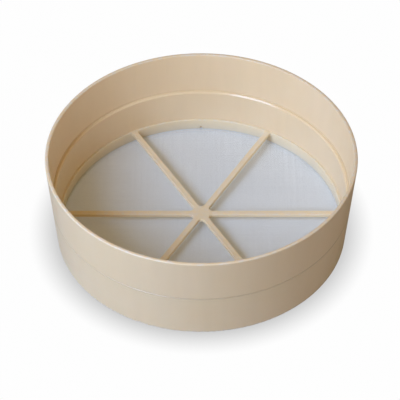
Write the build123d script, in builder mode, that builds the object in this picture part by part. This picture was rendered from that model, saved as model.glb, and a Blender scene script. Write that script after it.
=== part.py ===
from build123d import *
import os

# Round stacking soil sieve, 200 mm class: two moulded hoops joined at half height,
# a six-spoke frame and a mesh disc clamped under it.
# Origin at the centre of the resting face, +Z up, one pair of spokes along X.

os.makedirs("parts", exist_ok=True)

# Overall envelope of the wall, a cone that narrows evenly from rim to foot
sieve_height = 70.0
rim_radius = 107.5
foot_radius = 102.9
joint_height = 34.8

# Upper hoop
rim_thickness = 2.6
rim_round = 0.9
upper_inner_radius = 103.5
tongue_thickness = 0.9
tongue_length = 3.4

# Lower hoop
ledge_height = 37.0
ledge_inner_radius = 101.2
ledge_chamfer = 1.0
ledge_round = 0.3
groove_clearance = 0.03
joint_chamfer = 0.3
socket_radius = 101.0
seat_height = 2.6
seat_inner_radius = 99.4
foot_round = 0.4

# Mesh disc
mesh_radius = 100.8
mesh_thickness = 0.3

# Spoke frame
frame_outer_radius = 100.96
frame_inner_radius = 99.4
frame_depth = 8.5
spoke_width = 4.3
spoke_depth = 2.2
spoke_count = 6
hub_fillet = 2.6
spoke_end_fillet = 2.0
frame_edge_round = 0.6
notch_width = 2.0
notch_height = 2.4

# Heights and radii that follow from the sizes above
wall_slope = (rim_radius - foot_radius) / sieve_height
joint_radius = foot_radius + wall_slope * joint_height
tongue_outer_radius = upper_inner_radius + tongue_thickness
tongue_foot = joint_height - tongue_length
groove_outer_radius = tongue_outer_radius + groove_clearance
groove_inner_radius = upper_inner_radius - groove_clearance
groove_floor = tongue_foot - groove_clearance
mesh_top = seat_height + mesh_thickness
frame_top = mesh_top + frame_depth
match_tolerance = 0.01


def rings_at(solid, radius, height):
    """Circular edges of the solid with this radius at this height."""
    low = height - match_tolerance
    high = height + match_tolerance
    level = solid.edges().filter_by(GeomType.CIRCLE).filter_by_position(Axis.Z, low, high)
    return level.filter_by(lambda edge: abs(edge.radius - radius) < match_tolerance)


# Upper hoop: half of the wall with the rim, and the tongue that drops into the lower hoop
with BuildPart() as upper_hoop:
    with BuildSketch(Plane.XZ):
        with BuildLine():
            Polyline(
                (joint_radius, joint_height),
                (rim_radius, sieve_height),
                (rim_radius - rim_thickness, sieve_height),
                (upper_inner_radius, ledge_height),
                (upper_inner_radius, tongue_foot),
                (tongue_outer_radius, tongue_foot),
                (tongue_outer_radius, joint_height),
                close=True,
            )
        make_face()
    revolve(axis=Axis.Z)
    fillet(rings_at(upper_hoop, rim_radius, sieve_height), rim_round)
    fillet(rings_at(upper_hoop, rim_radius - rim_thickness, sieve_height), rim_round)
    chamfer(rings_at(upper_hoop, joint_radius, joint_height), joint_chamfer)

# Lower hoop: the other half of the wall, with the ledge, the mesh seat and the foot
with BuildPart() as lower_hoop:
    with BuildSketch(Plane.XZ):
        with BuildLine():
            Polyline(
                (foot_radius, 0),
                (joint_radius, joint_height),
                (groove_outer_radius, joint_height),
                (groove_outer_radius, groove_floor),
                (groove_inner_radius, groove_floor),
                (groove_inner_radius, ledge_height),
                (ledge_inner_radius + ledge_chamfer, ledge_height),
                (ledge_inner_radius, ledge_height - ledge_chamfer),
                (socket_radius, frame_top),
                (socket_radius, seat_height),
                (seat_inner_radius, seat_height),
                (seat_inner_radius, 0),
                close=True,
            )
        make_face()
    revolve(axis=Axis.Z)
    fillet(rings_at(lower_hoop, ledge_inner_radius + ledge_chamfer, ledge_height), ledge_round)
    fillet(rings_at(lower_hoop, ledge_inner_radius, ledge_height - ledge_chamfer), ledge_round)
    chamfer(rings_at(lower_hoop, joint_radius, joint_height), joint_chamfer)
    fillet(rings_at(lower_hoop, foot_radius, 0), foot_round)
    fillet(rings_at(lower_hoop, seat_inner_radius, 0), foot_round)

# Mesh disc, its margin clamped between the seat and the spoke frame
with BuildPart() as mesh_screen:
    with BuildSketch(Plane.XY.offset(seat_height)):
        Circle(mesh_radius)
    extrude(amount=mesh_thickness)

# Spoke frame in one moulding: a thin ring that stands on the mesh, with six spokes and a hub
# level with its top and clear of the mesh
with BuildPart() as spoke_frame:
    with BuildSketch(Plane.XY.offset(mesh_top)):
        Circle(frame_outer_radius)
        Circle(frame_inner_radius, mode=Mode.SUBTRACT)
    extrude(amount=frame_depth)
    with BuildSketch(Plane.XY.offset(frame_top - spoke_depth)) as spoke_plan:
        Circle(frame_outer_radius)
        Circle(frame_inner_radius, mode=Mode.SUBTRACT)
        with PolarLocations(0, spoke_count // 2, angular_range=180):
            Rectangle(frame_inner_radius + frame_outer_radius, spoke_width)
        corners = spoke_plan.vertices().sort_by(lambda corner: Vector(corner).length)
        fillet(corners[:spoke_count], hub_fillet)
        ring_corners = spoke_plan.vertices().filter_by(
            lambda corner: abs(Vector(corner).length - frame_inner_radius) < match_tolerance
        )
        fillet(ring_corners, spoke_end_fillet)
    extrude(amount=spoke_depth)
    top_edges = spoke_frame.faces().sort_by(Axis.Z)[-1].edges()
    rim_edges = rings_at(spoke_frame, frame_outer_radius, frame_top)
    fillet([edge for edge in top_edges if edge not in rim_edges], frame_edge_round)
    with Locations((0, frame_inner_radius, mesh_top)):
        Box(
            notch_width,
            2 * (frame_outer_radius - frame_inner_radius) + notch_width,
            2 * notch_height,
            mode=Mode.SUBTRACT,
        )

pieces = {
    "upper_hoop": upper_hoop,
    "lower_hoop": lower_hoop,
    "mesh_screen": mesh_screen,
    "spoke_frame": spoke_frame,
}
for name, piece in pieces.items():
    piece.part.label = name
    export_step(piece.part, f"parts/{name}.step")
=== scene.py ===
import math

import bpy
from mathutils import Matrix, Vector


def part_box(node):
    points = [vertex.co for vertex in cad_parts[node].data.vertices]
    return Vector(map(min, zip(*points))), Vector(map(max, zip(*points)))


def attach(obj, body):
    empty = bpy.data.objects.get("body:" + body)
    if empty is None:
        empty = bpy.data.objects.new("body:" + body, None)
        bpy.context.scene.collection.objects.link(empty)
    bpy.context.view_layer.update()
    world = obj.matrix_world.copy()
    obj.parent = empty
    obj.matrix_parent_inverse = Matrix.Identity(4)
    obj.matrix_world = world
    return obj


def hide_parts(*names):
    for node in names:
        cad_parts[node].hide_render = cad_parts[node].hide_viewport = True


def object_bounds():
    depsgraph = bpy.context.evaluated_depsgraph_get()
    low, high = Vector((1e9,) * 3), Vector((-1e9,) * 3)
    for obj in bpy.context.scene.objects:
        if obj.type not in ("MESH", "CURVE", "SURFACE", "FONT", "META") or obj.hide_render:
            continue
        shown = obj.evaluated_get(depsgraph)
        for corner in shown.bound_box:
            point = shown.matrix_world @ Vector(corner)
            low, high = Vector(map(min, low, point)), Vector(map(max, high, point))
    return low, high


# Soil sieve: the two hoops and the spoke frame keep their CAD shapes and get moulded-plastic
# materials; the mesh disc is replaced by a thin woven cloth. Metres, Z up, camera towards +Y.

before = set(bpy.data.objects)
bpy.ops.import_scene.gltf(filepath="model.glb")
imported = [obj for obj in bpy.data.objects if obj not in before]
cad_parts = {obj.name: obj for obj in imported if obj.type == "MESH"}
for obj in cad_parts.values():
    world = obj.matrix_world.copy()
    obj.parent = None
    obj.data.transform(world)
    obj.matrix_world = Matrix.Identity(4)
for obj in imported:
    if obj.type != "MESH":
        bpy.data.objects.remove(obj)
cad_low, cad_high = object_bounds()
rim_radius = (cad_high.x - cad_low.x) / 2
rim_height = cad_high.z
MM = 0.001

# Camera, at the photograph's viewing angle
CAMERA_ELEVATION = math.radians(44.19)
CAMERA_DISTANCE = 11 * rim_radius
CAMERA_SENSOR = 36
CAMERA_LENS = 150.5
CAMERA_AZIMUTH = math.radians(-90)
AIM_BELOW_RIM = 0.4301 * rim_radius
AIM_SHIFT_X = -0.9 * MM

# Light and floor. The floor and backdrop that the camera sees are paler than what lights the sieve,
# and that floor has a soft shadow painted round the foot.
WORLD_COLOUR = (1.0, 0.73, 0.34)
WORLD_STRENGTH = 0.32
BACKDROP = 0.99
LAMP_DISTANCE = 1.3
LAMP_SIZE = 0.78
KEY_AZIMUTH = math.radians(228)
KEY_ELEVATION = math.radians(38)
KEY_POWER = 12.8
KEY_COLOUR = (0.78, 1.0, 1.43)
LOW_AZIMUTH = math.radians(192)
LOW_ELEVATION = math.radians(18)
LOW_POWER = 2.6
FILL_AZIMUTH = math.radians(335)
FILL_ELEVATION = math.radians(8)
FILL_POWER = 2.3
FILL_COLOUR = (0.92, 1.0, 1.25)
FLOOR_SIZE = 6
FLOOR_GREY = 0.3
# Painted shadow on the floor the camera sees: darkest at the foot, fading out over the reach
PAINTED_SHADOW_DARKEST = 0.3
PAINTED_SHADOW_AT_FOOT = 0.62
PAINTED_SHADOW_REACH = 0.021
PAINTED_SHADOW_SAMPLES = 24

# Faint line of painted shade round the outside where the two hoops meet
SEAM_HEIGHT = 34.8 * MM
SEAM_RADIUS = 105.2 * MM

# Spoke frame
SPOKES = 6
RING_WALL = 1.56 * MM
RING_INNER_RADIUS = 99.46 * MM

# Moulded plastic: colours of the painted shade at the seam and on the ring, and roughness with what
# wear adds to it
SEAM_PAINTED_SHADE = (0.42, 0.29, 0.18)
SEAM_PAINTED_SHADE_SHARE = 0.42
RING_PAINTED_SHADE = (0.66, 0.585, 0.465)
RING_PAINTED_SHADE_LOW = 0.6
RING_PAINTED_SHADE_HIGH = 0.1
RUBBED_SHARE = 0.7
HAIRLINE_SHARE = 0.25
SMOOTHEST = 0.285
DULLEST = 0.365
RUBBED_DULLER = 0.16
HAIRLINE_DULLER = 0.1
LEDGE_SMOOTHER = 0.17
WAVE_HEIGHT = 0.2 * MM
GRAIN_HEIGHT = 0.012 * MM
LIGHT_DEPTH = 1.6 * MM

# Woven cloth
CLOTH_PITCH = 0.25 * MM
CLOTH_THREAD_SHARE = 0.62
CLOTH_SAG = 0.5 * MM
CLOTH_RINGS = 56
CLOTH_STEPS = 240
SLACK_HEIGHT = 0.3 * MM
THREAD_HEIGHT = 0.03 * MM


class Graph:
    """One material and short calls that add and link its nodes."""

    def __init__(self, name):
        self.material = bpy.data.materials.new(name)
        self.material.use_nodes = True
        self.tree = self.material.node_tree
        self.tree.nodes.clear()
        coordinates = self.tree.nodes.new("ShaderNodeTexCoord")
        self.place = coordinates.outputs["Object"]

    def feed(self, socket, value):
        if isinstance(value, bpy.types.NodeSocket):
            self.tree.links.new(value, socket)
        else:
            socket.default_value = value

    def node(self, kind, output=0, **inputs):
        made = self.tree.nodes.new(kind)
        for name, value in inputs.items():
            self.feed(made.inputs[name.replace("_", " ")], value)
        return made.outputs[output]

    def maths(self, operation, *values, clamp=False):
        made = self.tree.nodes.new("ShaderNodeMath")
        made.operation = operation
        made.use_clamp = clamp
        for socket, value in zip(made.inputs, values):
            self.feed(socket, value)
        return made.outputs[0]

    def stretched(self, scale):
        """The place, scaled by (x, y, z) per metre."""
        made = self.tree.nodes.new("ShaderNodeVectorMath")
        made.operation = "MULTIPLY"
        self.feed(made.inputs[0], self.place)
        made.inputs[1].default_value = scale
        return made.outputs[0]

    def noise(self, scale, detail=3.0, roughness=0.5, distortion=0.0):
        """Noise with that many features a metre, one number or one for each axis."""
        if isinstance(scale, tuple):
            vector, size = self.stretched(scale), 1.0
        else:
            vector, size = self.place, scale
        return self.node(
            "ShaderNodeTexNoise",
            Vector=vector,
            Scale=size,
            Detail=detail,
            Roughness=roughness,
            Distortion=distortion,
        )

    def span(self, value, low, high, to_low=0.0, to_high=1.0, smooth=True):
        """value from low to high becomes to_low to to_high, and stops there."""
        made = self.tree.nodes.new("ShaderNodeMapRange")
        made.interpolation_type = "SMOOTHSTEP" if smooth else "LINEAR"
        made.clamp = True
        self.feed(made.inputs["Value"], value)
        made.inputs["From Min"].default_value = low
        made.inputs["From Max"].default_value = high
        made.inputs["To Min"].default_value = to_low
        made.inputs["To Max"].default_value = to_high
        return made.outputs["Result"]

    def blend(self, share, first, second, kind="MIX"):
        made = self.tree.nodes.new("ShaderNodeMix")
        made.data_type = "RGBA"
        made.blend_type = kind
        self.feed(made.inputs[0], share)
        self.feed(made.inputs[6], first)
        self.feed(made.inputs[7], second)
        return made.outputs[2]

    def product(self, *values):
        made = values[0]
        for value in values[1:]:
            made = self.maths("MULTIPLY", made, value)
        return made

    def gap(self, value, level):
        """How far value is from level, on either side."""
        return self.maths("ABSOLUTE", self.maths("SUBTRACT", value, level))

    def shaded(self, tint, share):
        """The tint times share, the same in all three channels."""
        grey = self.node("ShaderNodeCombineColor", Red=share, Green=share, Blue=share)
        return self.blend(1.0, tint, grey, "MULTIPLY")

    def bump(self, height, distance, normal=None, strength=1.0):
        made = self.tree.nodes.new("ShaderNodeBump")
        made.inputs["Strength"].default_value = strength
        made.inputs["Distance"].default_value = distance
        self.feed(made.inputs["Height"], height)
        if normal is not None:
            self.feed(made.inputs["Normal"], normal)
        return made.outputs["Normal"]

    def axes(self):
        made = self.tree.nodes.new("ShaderNodeSeparateXYZ")
        self.feed(made.inputs[0], self.place)
        return made.outputs["X"], made.outputs["Y"], made.outputs["Z"]

    def finish(self, **inputs):
        shader = self.tree.nodes.new("ShaderNodeBsdfPrincipled")
        for name, value in inputs.items():
            self.feed(shader.inputs[name.replace("_", " ")], value)
        output = self.tree.nodes.new("ShaderNodeOutputMaterial")
        self.tree.links.new(shader.outputs[0], output.inputs["Surface"])
        return self.material


def colour(red, green, blue):
    return (red, green, blue, 1.0)


def moulded_plastic(
    name,
    base,
    warm,
    worn,
    worn_heights,
    seam=None,
    polished=None,
    painted_shade_below=None,
):
    """Satin cream plastic: cloudy colour, faint flow lines, fine grain, rubbed edges and hairlines.

    worn_heights are the heights of edges that rub against other things. seam is the height of a
    line of painted shade round the outside, and polished the height of a ledge inside that has
    been rubbed smooth. painted_shade_below is (low, top, radius) of a ring whose inner wall has
    painted shade, greyer and darker towards the cloth.
    """
    graph = Graph(name)
    x, y, z = graph.axes()
    reach = graph.maths("SQRT", graph.maths("ADD", graph.product(x, x), graph.product(y, y)))

    clouds = graph.noise(16.0, detail=4.0, roughness=0.55, distortion=0.4)
    flow = graph.noise((70.0, 70.0, 9.0), detail=5.0, roughness=0.6, distortion=0.8)
    tint = graph.blend(graph.span(clouds, 0.35, 0.65), colour(*base), colour(*warm))
    coloured = graph.shaded(tint, graph.span(flow, 0.3, 0.7, 0.985, 1.01))

    patches = graph.noise(260.0, detail=4.0, roughness=0.65)
    rubbed = 0.0
    for height in worn_heights:
        near = graph.span(graph.gap(z, height), 0.3 * MM, 1.3 * MM, 1.0, 0.0)
        rubbed = graph.maths("MAXIMUM", rubbed, near)
    rubbed = graph.product(rubbed, graph.span(patches, 0.42, 0.62))
    coloured = graph.blend(graph.product(rubbed, RUBBED_SHARE), coloured, colour(*worn))

    # Painted shade: a dark line round the outside at the seam, where shade falls in the joint gap.
    if seam is not None:
        line = graph.span(graph.gap(z, seam), 0.2 * MM, 1.1 * MM, SEAM_PAINTED_SHADE_SHARE, 0.0)
        patchy = graph.span(patches, 0.2, 0.5, 0.7, 1.0)
        outside = graph.span(reach, SEAM_RADIUS - MM, SEAM_RADIUS - 0.6 * MM)
        painted_shade = graph.product(line, patchy, outside)
        coloured = graph.blend(painted_shade, coloured, colour(*SEAM_PAINTED_SHADE))

    # Painted shade: the ring's inner wall turns greyer and darker towards the cloth, standing in
    # for shade and the grey light the cloth throws back.
    if painted_shade_below is not None:
        low, top, radius = painted_shade_below
        on_ring = graph.span(reach, radius - 0.6 * MM, radius - 0.1 * MM)
        near_cloth = graph.span(z, low, top, RING_PAINTED_SHADE_LOW, RING_PAINTED_SHADE_HIGH)
        patchy = graph.span(patches, 0.2, 0.6, 0.75, 1.0)
        painted_shade = graph.product(on_ring, near_cloth, patchy)
        coloured = graph.blend(painted_shade, coloured, colour(*RING_PAINTED_SHADE))

    hairs = graph.noise((55.0, 55.0, 4200.0), detail=2.0, roughness=0.7)
    hair_patches = graph.noise(34.0, detail=2.0)
    scratches = graph.product(
        graph.span(hairs, 0.62, 0.74),
        graph.span(hair_patches, 0.48, 0.66),
    )
    coloured = graph.blend(graph.product(scratches, HAIRLINE_SHARE), coloured, colour(*worn))

    smear = graph.noise(45.0, detail=5.0, roughness=0.6)
    roughness = graph.span(smear, 0.3, 0.7, SMOOTHEST, DULLEST, smooth=False)
    roughness = graph.maths("ADD", roughness, graph.product(rubbed, RUBBED_DULLER))
    roughness = graph.maths("ADD", roughness, graph.product(scratches, HAIRLINE_DULLER))
    if polished is not None:
        level_with = graph.span(graph.gap(z, polished), 1.1 * MM, 1.5 * MM, 1.0, 0.0)
        inside = graph.span(reach, SEAM_RADIUS - 1.6 * MM, SEAM_RADIUS - 1.2 * MM, 1.0, 0.0)
        on_ledge = graph.product(level_with, inside)
        roughness = graph.maths("SUBTRACT", roughness, graph.product(on_ledge, LEDGE_SMOOTHER))

    waves = graph.noise(55.0, detail=1.0)
    grain = graph.noise(1400.0, detail=2.0)
    normal = graph.bump(waves, WAVE_HEIGHT, strength=0.3)
    normal = graph.bump(grain, GRAIN_HEIGHT, normal)

    return graph.finish(
        Base_Color=coloured,
        Roughness=roughness,
        Normal=normal,
        Subsurface_Weight=0.18,
        Subsurface_Radius=(1.0, 0.7, 0.5),
        Subsurface_Scale=LIGHT_DEPTH,
    )


def woven_cloth(name, thread, shade_thread):
    """Plain weave of fine nylon: threads over and under each other, open between them."""
    graph = Graph(name)
    x, y = graph.axes()[:2]
    across = graph.maths("DIVIDE", x, CLOTH_PITCH)
    along = graph.maths("DIVIDE", y, CLOTH_PITCH)

    def ridge(turns):
        """1 at the middle of each thread, 0 at its edges and in the gaps."""
        wave = graph.maths("PINGPONG", turns, 0.5)
        from_middle = graph.maths("SUBTRACT", 0.5, wave)
        from_middle = graph.maths("DIVIDE", from_middle, CLOTH_THREAD_SHARE / 2)
        square = graph.product(from_middle, from_middle)
        return graph.maths("SQRT", graph.maths("SUBTRACT", 1.0, square, clamp=True))

    warp = ridge(across)
    weft = ridge(along)
    turn = graph.product(
        graph.maths("SINE", graph.product(across, math.pi)),
        graph.maths("SINE", graph.product(along, math.pi)),
    )
    warp_height = graph.product(warp, graph.maths("ADD", 1.0, turn))
    weft_height = graph.product(weft, graph.maths("SUBTRACT", 1.0, turn))
    height = graph.maths("MAXIMUM", warp_height, weft_height)
    solid = graph.maths("GREATER_THAN", height, 0.02)

    warp_streaks = graph.noise((900.0, 6.0, 6.0), detail=3.0, roughness=0.7)
    weft_streaks = graph.noise((6.0, 900.0, 6.0), detail=3.0, roughness=0.7)
    streaks = graph.maths("ADD", warp_streaks, weft_streaks)
    clouds = graph.noise(20.0, detail=3.0)
    tint = graph.blend(graph.span(clouds, 0.35, 0.65), colour(*thread), colour(*shade_thread))
    coloured = graph.shaded(tint, graph.span(streaks, 0.7, 1.3, 0.93, 1.03))

    slack = graph.noise(38.0, detail=2.0)
    normal = graph.bump(slack, SLACK_HEIGHT, strength=0.5)
    normal = graph.bump(height, THREAD_HEIGHT, normal, strength=0.5)
    return graph.finish(
        Base_Color=coloured,
        Roughness=graph.span(streaks, 0.7, 1.3, 0.34, 0.46, smooth=False),
        Normal=normal,
        Alpha=solid,
    )


def pale_floor(name):
    """A pale floor that darkens softly where the object stands.

    Its own grey is what the object is lit by; the paler tone is what is looked at, and its
    darkening where the object stands is a painted shadow, drawn from ambient occlusion.
    """
    graph = Graph(name)
    tree = graph.tree
    grey = graph.node("ShaderNodeBsdfDiffuse", Color=colour(FLOOR_GREY, FLOOR_GREY, FLOOR_GREY))
    # Painted shadow: the tone the camera sees is darkened near the object by ambient occlusion, not
    # cast by the lamps.
    painted_shadow_ao = tree.nodes.new("ShaderNodeAmbientOcclusion")
    painted_shadow_ao.samples = PAINTED_SHADOW_SAMPLES
    painted_shadow_ao.inputs["Distance"].default_value = PAINTED_SHADOW_REACH
    seen = painted_shadow_ao.outputs["AO"]
    near = graph.span(seen, 0.0, 0.5, PAINTED_SHADOW_DARKEST, PAINTED_SHADOW_AT_FOOT, smooth=False)
    away = graph.span(seen, 0.5, 1.0, 0.0, BACKDROP - PAINTED_SHADOW_AT_FOOT, smooth=False)
    brightness = graph.maths("ADD", near, away)
    pale = graph.node("ShaderNodeEmission", Color=colour(1, 1, 1), Strength=brightness)
    looked_at = tree.nodes.new("ShaderNodeLightPath").outputs["Is Camera Ray"]
    both = tree.nodes.new("ShaderNodeMixShader")
    graph.feed(both.inputs[0], looked_at)
    graph.feed(both.inputs[1], grey)
    graph.feed(both.inputs[2], pale)
    output = tree.nodes.new("ShaderNodeOutputMaterial")
    tree.links.new(both.outputs[0], output.inputs["Surface"])
    return graph.material


def studio_world():
    """Soft even warm light, with a pale backdrop behind the object."""
    world = bpy.data.worlds.new("studio")
    world.use_nodes = True
    tree = world.node_tree
    tree.nodes.clear()
    light = tree.nodes.new("ShaderNodeBackground")
    light.inputs["Color"].default_value = colour(*WORLD_COLOUR)
    light.inputs["Strength"].default_value = WORLD_STRENGTH
    backdrop = tree.nodes.new("ShaderNodeBackground")
    backdrop.inputs["Color"].default_value = colour(1, 1, 1)
    backdrop.inputs["Strength"].default_value = BACKDROP
    path = tree.nodes.new("ShaderNodeLightPath")
    both = tree.nodes.new("ShaderNodeMixShader")
    tree.links.new(path.outputs["Is Camera Ray"], both.inputs[0])
    tree.links.new(light.outputs[0], both.inputs[1])
    tree.links.new(backdrop.outputs[0], both.inputs[2])
    output = tree.nodes.new("ShaderNodeOutputWorld")
    tree.links.new(both.outputs[0], output.inputs["Surface"])
    return world


def stretched_cloth():
    """The disc of cloth, clamped at its margin, hanging a little between the spokes."""
    low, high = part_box("mesh_screen")
    radius = (high.x - low.x) / 2
    level = (low.z + high.z) / 2
    ring_low, ring_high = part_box("spoke_frame")
    clear_radius = (ring_high.x - ring_low.x) / 2 - RING_WALL
    points = [(0.0, 0.0, level)]
    for ring in range(1, CLOTH_RINGS + 1):
        reach = radius * ring / CLOTH_RINGS
        for step in range(CLOTH_STEPS):
            angle = math.tau * step / CLOTH_STEPS
            open_share = max(0.0, 1 - (reach / clear_radius) ** 2)
            between = (1 - math.cos(SPOKES * angle)) / 2
            middle = (reach / clear_radius) ** 2 * open_share * 4 if reach < clear_radius else 0.0
            dip = CLOTH_SAG * middle * between
            points.append((reach * math.cos(angle), reach * math.sin(angle), level - dip))
    faces = []
    for step in range(CLOTH_STEPS):
        after = (step + 1) % CLOTH_STEPS
        faces.append((0, 1 + step, 1 + after))
        for ring in range(CLOTH_RINGS - 1):
            inner = 1 + ring * CLOTH_STEPS
            outer = inner + CLOTH_STEPS
            faces.append((inner + step, outer + step, outer + after, inner + after))
    mesh = bpy.data.meshes.new("woven_mesh")
    mesh.from_pydata(points, [], faces)
    mesh.shade_smooth()
    cloth = bpy.data.objects.new("woven_mesh", mesh)
    bpy.context.scene.collection.objects.link(cloth)
    return cloth, radius


def direction(azimuth, elevation):
    """Unit vector towards that azimuth, anticlockwise from +X, and elevation."""
    level = math.cos(elevation)
    return Vector((level * math.cos(azimuth), level * math.sin(azimuth), math.sin(elevation)))


def look_at(holder, target):
    """Turns a lamp or camera, which both look down their own -Z, towards the target."""
    holder.rotation_mode = "QUATERNION"
    holder.rotation_quaternion = (target - holder.location).to_track_quat("-Z", "Y")


def softbox(name, azimuth, elevation, power, tint):
    """A round soft lamp aimed at the middle of the sieve."""
    middle = Vector((0, 0, rim_height / 2))
    lamp = bpy.data.lights.new(name, "AREA")
    lamp.shape = "DISK"
    lamp.size = LAMP_SIZE
    lamp.energy = power
    lamp.color = tint
    holder = bpy.data.objects.new(name, lamp)
    holder.location = middle + direction(azimuth, elevation) * LAMP_DISTANCE
    look_at(holder, middle)
    bpy.context.scene.collection.objects.link(holder)


# Materials of the CAD pieces
ledge_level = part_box("lower_hoop")[1].z
frame_low, frame_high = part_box("spoke_frame")
hoop_material = moulded_plastic(
    "hoop_moulded_plastic",
    base=(0.88, 0.69, 0.45),
    warm=(0.87, 0.675, 0.425),
    worn=(0.81, 0.73, 0.63),
    worn_heights=(0.0, rim_height),
    seam=SEAM_HEIGHT,
    polished=ledge_level,
)
frame_material = moulded_plastic(
    "spoke_moulded_plastic",
    base=(0.89, 0.735, 0.49),
    warm=(0.88, 0.72, 0.465),
    worn=(0.84, 0.74, 0.60),
    worn_heights=(frame_high.z,),
    painted_shade_below=(frame_low.z, frame_high.z, RING_INNER_RADIUS),
)
for node, material in (
    ("upper_hoop", hoop_material),
    ("lower_hoop", hoop_material),
    ("spoke_frame", frame_material),
):
    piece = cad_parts[node]
    piece.data.materials.clear()
    piece.data.materials.append(material)

# Cloth in place of the solid mesh disc
cloth, cloth_radius = stretched_cloth()
nylon = woven_cloth(
    "woven_nylon",
    thread=(0.835, 0.87, 0.88),
    shade_thread=(0.81, 0.845, 0.855),
)
cloth.data.materials.append(nylon)
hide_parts("mesh_screen")
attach(cloth, "root")

# Floor
floor_mesh = bpy.data.meshes.new("floor")
half = FLOOR_SIZE / 2
floor_mesh.from_pydata(
    [(-half, -half, 0), (half, -half, 0), (half, half, 0), (-half, half, 0)], [], [(0, 1, 2, 3)]
)
floor = bpy.data.objects.new("floor", floor_mesh)
floor.data.materials.append(pale_floor("pale_floor"))
bpy.context.scene.collection.objects.link(floor)

# Light
bpy.context.scene.world = studio_world()
softbox("key", KEY_AZIMUTH, KEY_ELEVATION, KEY_POWER, KEY_COLOUR)
softbox("low", LOW_AZIMUTH, LOW_ELEVATION, LOW_POWER, KEY_COLOUR)
softbox("fill", FILL_AZIMUTH, FILL_ELEVATION, FILL_POWER, FILL_COLOUR)
bpy.context.scene.view_settings.view_transform = "Standard"

# Camera
camera_data = bpy.data.cameras.new("camera")
camera_data.sensor_width = CAMERA_SENSOR
camera_data.lens = CAMERA_LENS
camera = bpy.data.objects.new("camera", camera_data)
aim = Vector((AIM_SHIFT_X, 0, rim_height - AIM_BELOW_RIM))
camera.location = aim + direction(CAMERA_AZIMUTH, CAMERA_ELEVATION) * CAMERA_DISTANCE
look_at(camera, aim)
bpy.context.scene.collection.objects.link(camera)
bpy.context.scene.camera = camera
